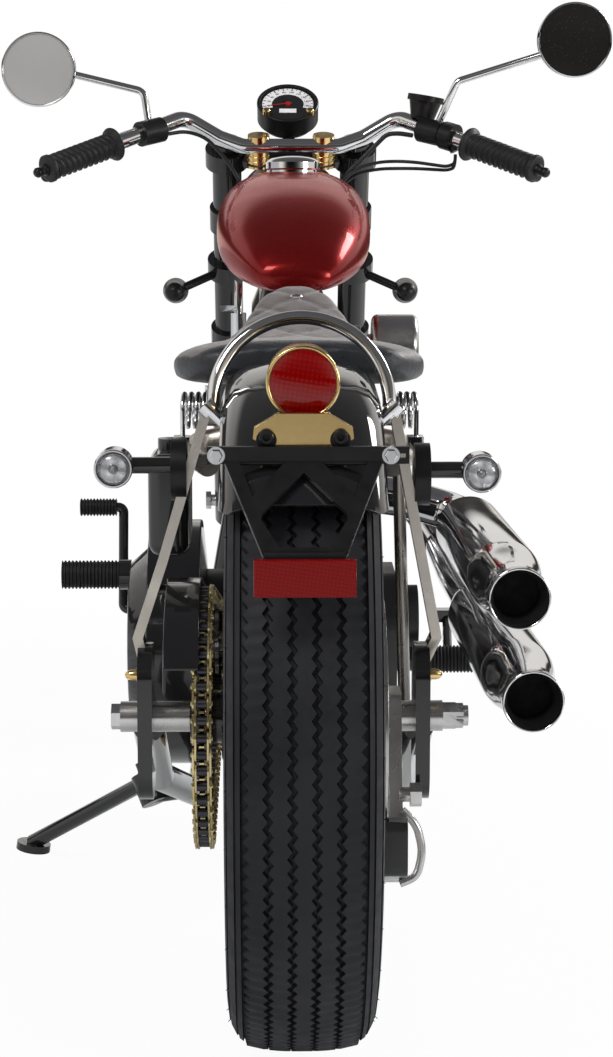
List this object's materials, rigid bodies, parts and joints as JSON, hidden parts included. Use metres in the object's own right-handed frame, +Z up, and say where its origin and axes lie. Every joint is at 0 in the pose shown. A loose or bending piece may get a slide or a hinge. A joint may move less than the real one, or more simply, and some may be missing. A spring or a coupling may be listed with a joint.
{
  "type": "chopper motorcycle",
  "caption": "Chopper motorcycle with a rigid frame, V-twin engine, chain drive and stacked mufflers, leaning on its side stand; its wheels, fork and stand move.",
  "frame": {"origin": "middle of the box round the parked machine, on the floor", "axes": "+Y forward along the machine, +Z up, +X to the rider's right"},
  "size_m": [0.811, 2.1268, 1.1176],
  "materials": {
    "tyre_rubber": "matt black rubber",
    "rubber": "matt black",
    "black_gloss": "gloss black paint",
    "candy_red": "dark candy red gloss",
    "chrome": "polished chrome",
    "brass": "satin brass",
    "steel": "brushed steel",
    "aluminium": "cast and polished",
    "engine_black": "satin black engine enamel",
    "cast_fins": "dark cast fins",
    "gold_chain": "gold link plates",
    "leather": "worn brown quilted leather",
    "red_lens": "red lens",
    "clear_glass": "clear glass",
    "black_plastic": "satin black"
  },
  "bodies": {
    "chassis": {"drive_chain": "gold_chain", "front_sprocket": "steel", "chain_guard": "black_gloss", "frame_backbone": "black_gloss", "frame_cradle": "black_gloss", "rear_struts": "black_gloss", "oil_tank": "black_gloss", "rear_axle": "steel", "rear_caliper": "engine_black", "crankcase": "engine_black", "primary_cover": "engine_black", "front_cylinder": "cast_fins", "rear_cylinder": "cast_fins", "rocker_covers": "chrome", "carburettor": "aluminium", "air_cleaner": "chrome", "exhaust_pipes": "chrome", "mufflers": "chrome", "fuel_tank": "candy_red", "fuel_tap": "chrome", "seat": "leather", "seat_springs": "chrome", "rear_fender": "black_gloss", "grab_loop": "chrome", "tail_lamp": "brass", "tail_lamp_lens": "red_lens", "plate_bracket": "black_gloss", "rear_reflector": "red_lens", "rear_indicators": "chrome", "side_reflectors": "black_plastic", "foot_controls": "rubber"},
    "front_fork": {"triple_clamps": "black_gloss", "fork_legs": "black_gloss", "front_axle": "steel", "handlebar": "chrome", "grips": "rubber", "risers": "brass", "hand_controls": "black_plastic", "control_cables": "black_plastic", "mirrors": "chrome", "speedometer": "black_plastic", "headlamp": "black_gloss", "headlamp_lens": "clear_glass", "front_fender": "black_gloss", "front_indicators": "black_plastic"},
    "rear_wheel_set": {"rear_tyre": "tyre_rubber", "rear_wheel": "black_gloss", "rear_sprocket": "gold_chain", "rear_disc": "steel"},
    "front_wheel_set": {"front_tyre": "tyre_rubber", "front_wheel": "black_gloss"},
    "stand": {"side_stand": "black_gloss"}
  },
  "joints": [
    {"name": "rear_wheel_spin", "type": "hinge", "parent": "chassis", "child": "rear_wheel_set", "pos_m": [0.08639, -0.74412, 0.31828], "axis": [0.9877, 0, 0.1564], "continuous": true},
    {"name": "steering", "type": "hinge", "parent": "chassis", "child": "front_fork", "pos_m": [0.00739, 0.36588, 0.81707], "axis": [-0.1327, -0.5299, 0.8376], "range_deg": [-35, 35]},
    {"name": "front_wheel_spin", "type": "hinge", "parent": "front_fork", "child": "front_wheel_set", "pos_m": [0.08482, 0.73415, 0.32816], "axis": [0.9877, 0, 0.1564], "continuous": true},
    {"name": "side_stand_fold", "type": "hinge", "parent": "chassis", "child": "stand", "pos_m": [-0.05618, -0.36412, 0.13168], "axis": [-0.4931, 0.3837, 0.7808], "range_deg": [0, 104.8]}
  ]
}
